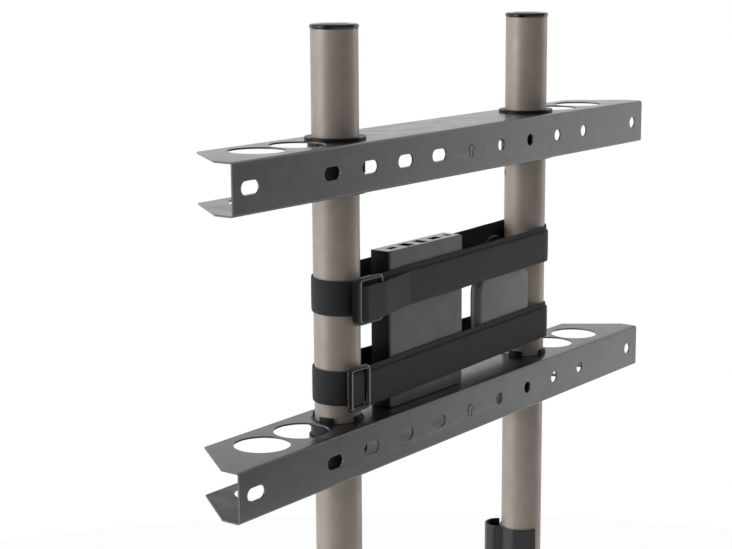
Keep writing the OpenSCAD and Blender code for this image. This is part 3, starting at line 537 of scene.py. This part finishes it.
def ring_buckle(name, node, x, back_y, z, width, height, side_bar, left_plate=0):
    """A ring of rounded bars; left_plate broadens its left bar outwards."""
    corner_r = RING_CORNER_R - RING_CROSS_BAR / 2
    centre_line = rounded_rectangle(width - side_bar, height - RING_CROSS_BAR, corner_r, RING_CORNER_STEPS)
    middle_y = back_y - RING_T / 2
    verts = []
    for point, out in centre_line:
        half = side_bar / 2 * out.x ** 2 + RING_CROSS_BAR / 2 * out.y ** 2
        for k in range(RING_SECTION_STEPS):
            a = 2 * math.pi * k / RING_SECTION_STEPS
            c, s = math.cos(a), math.sin(a)
            spread = half * bulge(c)
            outer = max(0.0, c) * max(0.0, -out.x)
            u = point.x + out.x * spread - left_plate * outer
            v = point.y + out.y * spread
            verts.append((x + u, middle_y - RING_T / 2 * bulge(s), z + v))
    faces = []
    rings = len(centre_line)
    for i in range(rings):
        here = i * RING_SECTION_STEPS
        there = (i + 1) % rings * RING_SECTION_STEPS
        for k in range(RING_SECTION_STEPS):
            m = (k + 1) % RING_SECTION_STEPS
            faces.append((here + k, there + k, there + m, here + m))
    piece = new_piece(name, verts, faces, "gloss_black", crease=60)
    carry(piece, node)


# Levels and places of the straps and their rings
UPPER_STRAP_Z = LOWER_RAIL_Z + 131 * MM
LOWER_STRAP_Z = LOWER_RAIL_Z + 54 * MM
GAP = 0.1 * MM
# Webbing inside a ring lies just in front of the loop
UNDER_Y = STRAP_FRONT_Y - GAP - STRAP_T / 2

UPPER_RING_W = 35 * MM
UPPER_RING_H = 41 * MM
UPPER_RING_SIDE = 5 * MM
UPPER_RING_PLATE = 7 * MM
UPPER_RING_X = -POST_X + 11.3 * MM
UPPER_RING_Z = UPPER_STRAP_Z - TAIL_DROP
UPPER_RING_LIFT = 3.2 * MM

LOWER_RING_W = 30.5 * MM
LOWER_RING_H = 38.6 * MM
LOWER_RING_SIDE = 6.4 * MM
LOWER_RING_X = -POST_X - 0.8 * MM
LOWER_RING_Z = LOWER_STRAP_Z - TAIL_DROP + 1.4 * MM

# How far the webbing leaves its level, at the left and right of its front and back
UPPER_FRONT_RISE = (-2.5 * MM, 3 * MM)
UPPER_BACK_RISE = (0, 7.5 * MM)
LOWER_FRONT_RISE = (-2.8 * MM, 4 * MM)
LOWER_BACK_RISE = (-1 * MM, -4 * MM)

# The upper tail comes up inside the ring's left bar, bends over, and comes down on the loop past the ring.
# Its bend is cut off this far to the right and to the back, and its ramp is measured from the ring.
UPPER_FOLD_LEN = 5.4 * MM
UPPER_RISER_GAP = 0.5 * MM
UPPER_RISER_LEAN = 0.1 * MM
UPPER_BEND = (5 * MM, 2.4 * MM)
UPPER_TOP_PAST = 1 * MM
UPPER_RAMP = 45 * MM

# The lower tail starts at its ring's right bar, and a fold of the webbing fills the ring
LOWER_TAIL_X = -POST_X + 12.25 * MM
LOWER_FOLD_LEN = 20 * MM
LOWER_FOLD_DROP = 0.7 * MM


def rise_between(ends):
    left, right = ends
    return lambda x: left + (right - left) * (x + POST_X) / (2 * POST_X)


def join(name, first, *others):
    """Merges pieces made for one node into the first of them, each with its own finish."""
    merged = bmesh.new()
    for index, piece in enumerate((first, *others)):
        start = len(merged.faces)
        merged.from_mesh(piece.data)
        merged.faces.ensure_lookup_table()
        for face in merged.faces[start:]:
            face.material_index = index
        if piece != first:
            first.data.materials.append(piece.data.materials[0])
    merged.to_mesh(first.data)
    merged.free()
    for piece in others:
        bpy.data.objects.remove(piece)
    first.name = name
    return first


def make_upper_strap():
    rise = rise_between(UPPER_FRONT_RISE)
    loop_line = loop_path(STRAP_MID_R, UPPER_FRONT_RISE, UPPER_BACK_RISE)
    # The loop and the fold get the webbing with painted shade
    loop = ribbon("loop", loop_line, UPPER_STRAP_Z, True, "webbing_painted_shade")
    ring_left = UPPER_RING_X - UPPER_RING_W / 2
    ring_right = UPPER_RING_X + UPPER_RING_W / 2
    over_y = STRAP_FRONT_Y - GAP - UPPER_RING_LIFT - RING_T - GAP - STRAP_T / 2
    riser_x = ring_left + UPPER_RING_SIDE + UPPER_RISER_GAP
    bend_x = ring_left + UPPER_RING_SIDE + UPPER_BEND[0]
    lead_in = [
        (riser_x, UNDER_Y), (riser_x + UPPER_RISER_LEAN, over_y + UPPER_BEND[1]), (bend_x, over_y),
        (ring_right + UPPER_TOP_PAST, over_y), (ring_right + UPPER_RAMP, -TAIL_R)
    ]
    tail = ribbon("tail", tail_path(lead_in, rise), UPPER_STRAP_Z - TAIL_DROP, False, "webbing")
    fold_line = along_points([(ring_left, UNDER_Y), (ring_left + UPPER_FOLD_LEN, UNDER_Y)], rise)
    fold = ribbon("fold", fold_line, UPPER_STRAP_Z - TAIL_DROP, False, "webbing_painted_shade")
    carry(join("strap_upper_webbing", loop, tail, fold), "strap_upper")


def make_lower_strap():
    rise = rise_between(LOWER_FRONT_RISE)
    loop_line = loop_path(STRAP_MID_R, LOWER_FRONT_RISE, LOWER_BACK_RISE)
    # The whole lower strap gets the webbing with painted shade
    loop = ribbon("loop", loop_line, LOWER_STRAP_Z, True, "webbing_painted_shade")
    tail_line = tail_path([(LOWER_TAIL_X, -TAIL_R)], rise)
    tail = ribbon("tail", tail_line, LOWER_STRAP_Z - TAIL_DROP, False, "webbing_painted_shade")
    inside = LOWER_RING_X - LOWER_RING_W / 2 + LOWER_RING_SIDE
    fold_line = along_points([(inside, UNDER_Y), (inside + LOWER_FOLD_LEN, UNDER_Y)], lambda x: 0)
    fold = ribbon("fold", fold_line, LOWER_RING_Z - LOWER_FOLD_DROP, False, "webbing_painted_shade")
    carry(join("strap_lower_webbing", loop, tail, fold), "strap_lower")


make_upper_strap()
make_lower_strap()
ring_buckle(
    "buckle_upper_ring", "buckle_upper", UPPER_RING_X, STRAP_FRONT_Y - GAP - UPPER_RING_LIFT, UPPER_RING_Z,
    UPPER_RING_W, UPPER_RING_H, UPPER_RING_SIDE, UPPER_RING_PLATE
)
ring_buckle(
    "buckle_lower_ring", "buckle_lower", LOWER_RING_X, STRAP_FRONT_Y - GAP, LOWER_RING_Z,
    LOWER_RING_W, LOWER_RING_H, LOWER_RING_SIDE
)


# Widths of the rounded edges
SCREW_EDGE = 0.2 * MM
SHEET_EDGE = 0.25 * MM
TUBE_EDGE = 0.3 * MM
BOLT_EDGE = 0.4 * MM
PIN_EDGE = 0.5 * MM
COLLAR_EDGE = 0.6 * MM
BUSH_EDGE = 0.7 * MM
CASING_EDGE = 0.8 * MM
END_CAP_EDGE = 1 * MM
CLIP_EDGE = 1.1 * MM
MEDIA_BOX_EDGE = 0.5 * MM

# Media box: only the strip's outer face has the glossier finish, and its sockets' floors are dark
SOCKET_TOP_DEPTH = 1 * MM

finished_copy("media_box_casing", MEDIA_BOX_EDGE, 2, ("device_shell",))
strip = finished_copy("media_box_sockets", MEDIA_BOX_EDGE, 2, ("device_shell", "box_top"))
strip_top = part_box("media_box_sockets")[1].z
paint_faces(strip, 1, lambda c, n: n.z > SQUARE and c.z > strip_top - SOCKET_TOP_DEPTH)
finished_copy("media_box_front", MEDIA_BOX_EDGE, 2, ("box_face",))

# Receiver's front shell: its front edge is rounded all round, and its back is open
SHELL_CORNER_R = 22 * MM
SHELL_WALL = 4 * MM
SHELL_ROUND = 5.5 * MM
SHELL_BACK_EDGE = 0.3 * MM
SHELL_ROUND_STEPS = 10
SHELL_CORNER_STEPS = 12
# Painted highlight: the shell is lighter where it turns to the right this much, and also to the front
HIGHLIGHT_TO_RIGHT = 0.35
HIGHLIGHT_TO_FRONT = 0.05


def make_receiver_front(node):
    low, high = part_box(node)
    middle = (low + high) / 2
    w, h = high.x - low.x, high.z - low.z
    # Steps of (inset from the outline, y): from the hollow's floor out over the back to the front face
    steps = [(SHELL_WALL, low.y + SHELL_WALL), (SHELL_WALL, high.y)]
    steps += [(SHELL_BACK_EDGE, high.y), (0, high.y - SHELL_BACK_EDGE)]
    for i in range(SHELL_ROUND_STEPS + 1):
        a = math.pi / 2 * i / SHELL_ROUND_STEPS
        steps.append((SHELL_ROUND * (1 - math.cos(a)), low.y + SHELL_ROUND * (1 - math.sin(a))))
    verts = []
    count = 4 * (SHELL_CORNER_STEPS + 1)
    for inset, y in steps:
        ring = rounded_rectangle(w - 2 * inset, h - 2 * inset, SHELL_CORNER_R - inset, SHELL_CORNER_STEPS)
        verts += [(middle.x + point.x, y, middle.z + point.y) for point, _ in ring]
    faces = [tuple(range(count - 1, -1, -1))]
    for i in range(len(steps) - 1):
        here = i * count
        for j in range(count):
            k = (j + 1) % count
            faces.append((here + j, here + k, here + count + k, here + count + j))
    faces.append(tuple(range((len(steps) - 1) * count, len(steps) * count)))
    piece = new_piece("receiver_front_shell", verts, faces, "device_face", "device_rim", crease=40)
    # Painted highlight on the right-facing part of the rounded front edge
    paint_faces(piece, 1, lambda c, n: n.x > HIGHLIGHT_TO_RIGHT and n.y < -HIGHLIGHT_TO_FRONT)
    carry(piece, node)


make_receiver_front("receiver_front")
finished_copy("receiver_casing", CASING_EDGE, 3)
finished_copy("cable_clip", CLIP_EDGE, 4, ("clip_black",))


# Post caps: a hollow plug, a round bead over the post's end, and a glossy flat disc inside the bead
CAP_BEAD_R = 2.1 * MM
CAP_BEAD_LIFT = 0.15 * MM
CAP_RIM_INSET = 0.8 * MM
CAP_DISC_R = 12.8 * MM
CAP_DISC_EDGE = 0.8 * MM
CAP_DISC_DEPTH = 0.5 * MM
CAP_DISC_LOOPS = (0.3 * MM, 0.6 * MM)
CAP_PLUG_R = 17.9 * MM
CAP_PLUG_WALL = 2 * MM
CAP_PLUG_LEN = 22 * MM
CAP_PLUG_EDGE = 0.5 * MM


def arc(middle, r, start, end, steps):
    """Points of an arc in a profile, from one angle in degrees to another."""
    return [
        (middle[0] + r * math.cos(math.radians(start + (end - start) * i / steps)),
         middle[1] + r * math.sin(math.radians(start + (end - start) * i / steps)))
        for i in range(steps + 1)
    ]


def make_cap(node):
    low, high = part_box(node)
    rim_r = (high.x - low.x) / 2
    height = high.z - low.z - CAP_PLUG_LEN
    inner_r = CAP_PLUG_R - CAP_PLUG_WALL
    profile = [(0, 0), (inner_r, 0), (inner_r, -CAP_PLUG_LEN)]
    profile += [(CAP_PLUG_R - CAP_PLUG_EDGE, -CAP_PLUG_LEN), (CAP_PLUG_R, CAP_PLUG_EDGE - CAP_PLUG_LEN)]
    profile += [(CAP_PLUG_R, 0), (rim_r - CAP_RIM_INSET, 0)]
    profile += arc((rim_r - CAP_BEAD_R, CAP_BEAD_R + CAP_BEAD_LIFT), CAP_BEAD_R, -50, 125, 12)
    profile += arc((CAP_DISC_R, height - CAP_DISC_EDGE), CAP_DISC_EDGE, 50, 90, 4)
    profile += [(CAP_DISC_R - inset, height) for inset in CAP_DISC_LOOPS]
    profile += [(CAP_DISC_R / 2, height), (0, height)]
    verts, faces = lathe(profile, 96)
    middle = Vector(((low.x + high.x) / 2, (low.y + high.y) / 2, high.z - height))
    verts = [Vector(v) + middle for v in verts]
    piece = new_piece(f"{node}_turned", verts, faces, "cap_black", "gloss_black", crease=50)
    paint_faces(piece, 1, lambda c, n: n.z > SQUARE and c.z > high.z - CAP_DISC_DEPTH)
    welded = bmesh.new()
    welded.from_mesh(piece.data)
    bmesh.ops.remove_doubles(welded, verts=welded.verts, dist=WELD)
    welded.to_mesh(piece.data)
    welded.free()
    carry(piece, node)


# Faces of a rail this near its front are on the web, and this near its bottom on the lower flange
SHEET_REACH = 4 * MM


def make_rail(rail):
    """A rail with painted shade: a darker, slightly glossier paint on its upward faces, and a darker,
    rougher paint on its inside behind the holes.
    """
    piece = finished_copy(rail, SHEET_EDGE, 2, ("rail_paint", "rail_top", "rail_inside"))
    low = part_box(rail)[0]
    # Painted shade: every upward face gets the darker paint
    paint_faces(piece, 1, lambda c, n: n.z > SQUARE)
    # Painted shade inside the channel: on the lower rail's lower flange, and behind the web of both rails
    if rail == "lower_rail":
        paint_faces(piece, 2, lambda c, n: n.z > SQUARE and c.z < low.z + SHEET_REACH)
    paint_faces(piece, 2, lambda c, n: n.y > SQUARE and c.y < low.y + SHEET_REACH)


# Posts, caps, rails, bushes and collars
for side in ("left", "right"):
    finished_copy(f"post_{side}", TUBE_EDGE)
    make_cap(f"post_cap_{side}")
    finished_copy(f"post_socket_{side}", CASING_EDGE)
    finished_copy(f"leg_{side}", TUBE_EDGE)
for rail in ("upper_rail", "lower_rail"):
    make_rail(rail)
    finished_copy(f"{rail}_set_screws", SCREW_EDGE)
    for side in ("left", "right"):
        finished_copy(f"{rail}_collar_{side}", COLLAR_EDGE, 2, ("bush_black",))
        for end in ("top", "bottom"):
            finished_copy(f"{rail}_bush_{side}_{end}", BUSH_EDGE, 3, ("bush_black",))

# Base
finished_copy("crossbeam", TUBE_EDGE)
for node in ("crossbeam_end_caps", "leg_end_caps"):
    finished_copy(node, END_CAP_EDGE, 3)
for node in ("socket_bolts", "leg_bolts", "socket_set_screws", "caster_plates"):
    finished_copy(node, BOLT_EDGE)


# Casters
WHEEL_R = 30 * MM
WHEEL_W = 22 * MM
WHEEL_SEGMENTS = 72
TREAD_EDGE = 4 * MM
HUB_R = 10 * MM
BORE_R = 4.05 * MM
RIM_IN_R = WHEEL_R - 6 * MM
RIM_EDGE = 0.8 * MM
RECESS = 3 * MM
RECESS_EDGE = 1 * MM
GROOVE_AT = 3.4 * MM
GROOVE_DEPTH = 0.8 * MM
GROOVE_TOP = 0.7 * MM
GROOVE_FLOOR = 0.4 * MM
SPOKES = 6
SPOKE_W = 3 * MM
SPOKE_T = 2.4 * MM
SPOKE_LIFT = 0.4 * MM
SPOKE_SINK = 0.5 * MM
# Inside this radius the wheel is black plastic, and outside it rubber
PLASTIC_R = RIM_IN_R + 0.2 * MM


def wheel_mesh():
    """Half of the wheel's outline, mirrored and turned: hub, recess, rim, and a tread with two grooves."""
    half = WHEEL_W / 2
    floor = half - RECESS + RECESS_EDGE
    upper = [(BORE_R, half)]
    upper += arc((HUB_R - RIM_EDGE, half - RIM_EDGE), RIM_EDGE, 90, 0, 3)
    upper += arc((HUB_R + RECESS_EDGE, floor), RECESS_EDGE, 180, 270, 3)
    upper += arc((RIM_IN_R - RECESS_EDGE, floor), RECESS_EDGE, -90, 0, 3)
    upper += arc((RIM_IN_R + RIM_EDGE, half - RIM_EDGE), RIM_EDGE, 180, 90, 3)
    upper += arc((WHEEL_R - TREAD_EDGE, half - TREAD_EDGE), TREAD_EDGE, 90, 0, 7)
    groove_r = WHEEL_R - GROOVE_DEPTH
    upper += [(WHEEL_R, GROOVE_AT + GROOVE_TOP), (groove_r, GROOVE_AT + GROOVE_FLOOR)]
    upper += [(groove_r, GROOVE_AT - GROOVE_FLOOR), (WHEEL_R, GROOVE_AT - GROOVE_TOP)]
    lower = [(r, -h) for r, h in reversed(upper)]
    return lathe(upper + lower, WHEEL_SEGMENTS)


def add_box(verts, faces, middle, size, turn):
    """A box whose long side is turned about Z, for a spoke."""
    start = len(verts)
    c, s = math.cos(turn), math.sin(turn)
    for sx in SIDES:
        for sy in SIDES:
            for sz in SIDES:
                x = middle[0] + sx * size[0] / 2
                y = middle[1] + sy * size[1] / 2
                verts.append((x * c - y * s, x * s + y * c, middle[2] + sz * size[2] / 2))
    for quad in ((0, 1, 3, 2), (4, 6, 7, 5), (0, 4, 5, 1), (2, 3, 7, 6), (0, 2, 6, 4), (1, 5, 7, 3)):
        faces.append(tuple(start + i for i in quad))


def make_wheel(node):
    low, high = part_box(node)
    verts, faces = wheel_mesh()
    tyre_faces = len(faces)
    spoke_from, spoke_to = HUB_R - SPOKE_SINK, RIM_IN_R + SPOKE_SINK
    spoke_size = (spoke_to - spoke_from, SPOKE_W, SPOKE_T)
    for side in SIDES:
        spoke_middle = ((spoke_from + spoke_to) / 2, 0, side * (WHEEL_W / 2 - RECESS + SPOKE_LIFT))
        for i in range(SPOKES):
            add_box(verts, faces, spoke_middle, spoke_size, 2 * math.pi * i / SPOKES)
    centre = (low + high) / 2
    turned = Matrix.Translation(centre) @ Matrix.Rotation(math.pi / 2, 4, "Y")
    verts = [turned @ Vector(v) for v in verts]
    piece = new_piece(f"{node}_tyre", verts, faces, "wheel_rubber", "matt_black")
    for face in piece.data.polygons:
        out = face.center - centre
        if face.index >= tyre_faces or math.hypot(out.y, out.z) < PLASTIC_R:
            face.material_index = 1
    carry(piece, node)


for end in ("front", "back"):
    for side in ("left", "right"):
        corner = f"caster_{end}_{side}"
        finished_copy(f"{corner}_fork", BOLT_EDGE)
        finished_copy(f"{corner}_pins", PIN_EDGE)
        finished_copy(f"{corner}_pedal", PIN_EDGE)
        make_wheel(f"{corner}_wheel")


# Studio: white all round for the camera. The light comes from behind, the left and the right.
FLOOR_R = 3.0
FLOOR_SIDES = 96
FLOOR_GLOW_SHARE = 0.93
FLOOR_COLOUR = (0.86, 0.86, 0.86)
FLOOR_ROUGHNESS = 0.8

# As light, the world is bright behind the object and dim in front of it. The limits are cosines of
# the angle from the bright side's direction.
BRIGHT_SIDE = (0.39, 0.92, 0.0)
DIM_FROM = -0.45
BRIGHT_FROM = 0.1
DIM_LIGHT = 0.2
BRIGHT_LIGHT = 1.0

LAMPS_FACE = (0, 0, 1.2)
LAMPS = (
    # Name, direction in degrees, distance, height above the floor, width, height, brightness
    ("left_softbox", 146, 3.0, 1.3, 2.2, 2.6, 1.15),
    ("key_lamp", 151, 3.0, 1.8, 0.35, 0.5, 22),
    ("right_softbox", -26, 3.0, 1.3, 1.2, 2.4, 0.9),
    ("overhead", -60, 0.5, 3.4, 2.0, 2.0, 1.0),
)


def white_floor():
    """White for the camera, with the object's shadow left in it."""
    shader = Shader("floor_white")
    shader.give("Base Color", FLOOR_COLOUR)
    shader.give("Roughness", FLOOR_ROUGHNESS)
    ray = shader.add("ShaderNodeLightPath").outputs
    seen = shader.math("MAXIMUM", ray["Is Camera Ray"], ray["Is Glossy Ray"])
    seen = shader.math("MAXIMUM", seen, ray["Is Transmission Ray"])
    share = shader.math("MULTIPLY", seen, FLOOR_GLOW_SHARE)
    glow = shader.add("ShaderNodeEmission", {"Strength": 1.0}).outputs[0]
    mixed = shader.add("ShaderNodeMixShader", {0: share, 1: shader.surface.outputs[0], 2: glow}).outputs[0]
    shader.tree.links.new(mixed, shader.tree.nodes["Material Output"].inputs[0])
    return shader.material


def make_floor():
    mesh = bpy.data.meshes.new("floor")
    turns = [2 * math.pi * i / FLOOR_SIDES for i in range(FLOOR_SIDES)]
    rim = [(FLOOR_R * math.cos(a), FLOOR_R * math.sin(a), 0) for a in turns]
    mesh.from_pydata(rim, [], [tuple(range(FLOOR_SIDES))])
    mesh.materials.append(white_floor())
    floor = bpy.data.objects.new("floor", mesh)
    bpy.context.scene.collection.objects.link(floor)


def make_world():
    """White for the camera; as light, white behind the object and a dim room in front of it."""
    world = bpy.data.worlds.new("studio")
    bpy.context.scene.world = world
    world.use_nodes = True
    tree = world.node_tree
    background = tree.nodes["Background"]
    background.inputs["Color"].default_value = (1, 1, 1, 1)
    towards = tree.nodes.new("ShaderNodeTexCoord").outputs["Generated"]
    facing = tree.nodes.new("ShaderNodeVectorMath")
    facing.operation = "DOT_PRODUCT"
    facing.inputs[1].default_value = BRIGHT_SIDE
    tree.links.new(towards, facing.inputs[0])
    light = tree.nodes.new("ShaderNodeMapRange")
    light.interpolation_type = "SMOOTHSTEP"
    limits = {"From Min": DIM_FROM, "From Max": BRIGHT_FROM, "To Min": DIM_LIGHT, "To Max": BRIGHT_LIGHT}
    for socket, value in limits.items():
        light.inputs[socket].default_value = value
    tree.links.new(facing.outputs["Value"], light.inputs["Value"])
    seen = tree.nodes.new("ShaderNodeMath")
    seen.operation = "MAXIMUM"
    tree.links.new(tree.nodes.new("ShaderNodeLightPath").outputs["Is Camera Ray"], seen.inputs[0])
    tree.links.new(light.outputs["Result"], seen.inputs[1])
    tree.links.new(seen.outputs[0], background.inputs["Strength"])


def softbox(name, azimuth, distance, z, width, height, brightness):
    """A rectangular lamp that faces the object; brightness 1 looks as bright as the white background."""
    data = bpy.data.lights.new(name, "AREA")
    data.shape = "RECTANGLE"
    data.size = width
    data.size_y = height
    data.energy = brightness * math.pi * width * height
    lamp = bpy.data.objects.new(name, data)
    a = math.radians(azimuth)
    lamp.location = Vector((distance * math.cos(a), distance * math.sin(a), z))
    ahead = Vector(LAMPS_FACE) - lamp.location
    lamp.rotation_euler = ahead.to_track_quat("-Z", "Y").to_euler()
    lamp.visible_camera = False
    bpy.context.scene.collection.objects.link(lamp)


make_floor()
make_world()
for lamp in LAMPS:
    softbox(*lamp)
bpy.context.scene.view_settings.view_transform = "Standard"
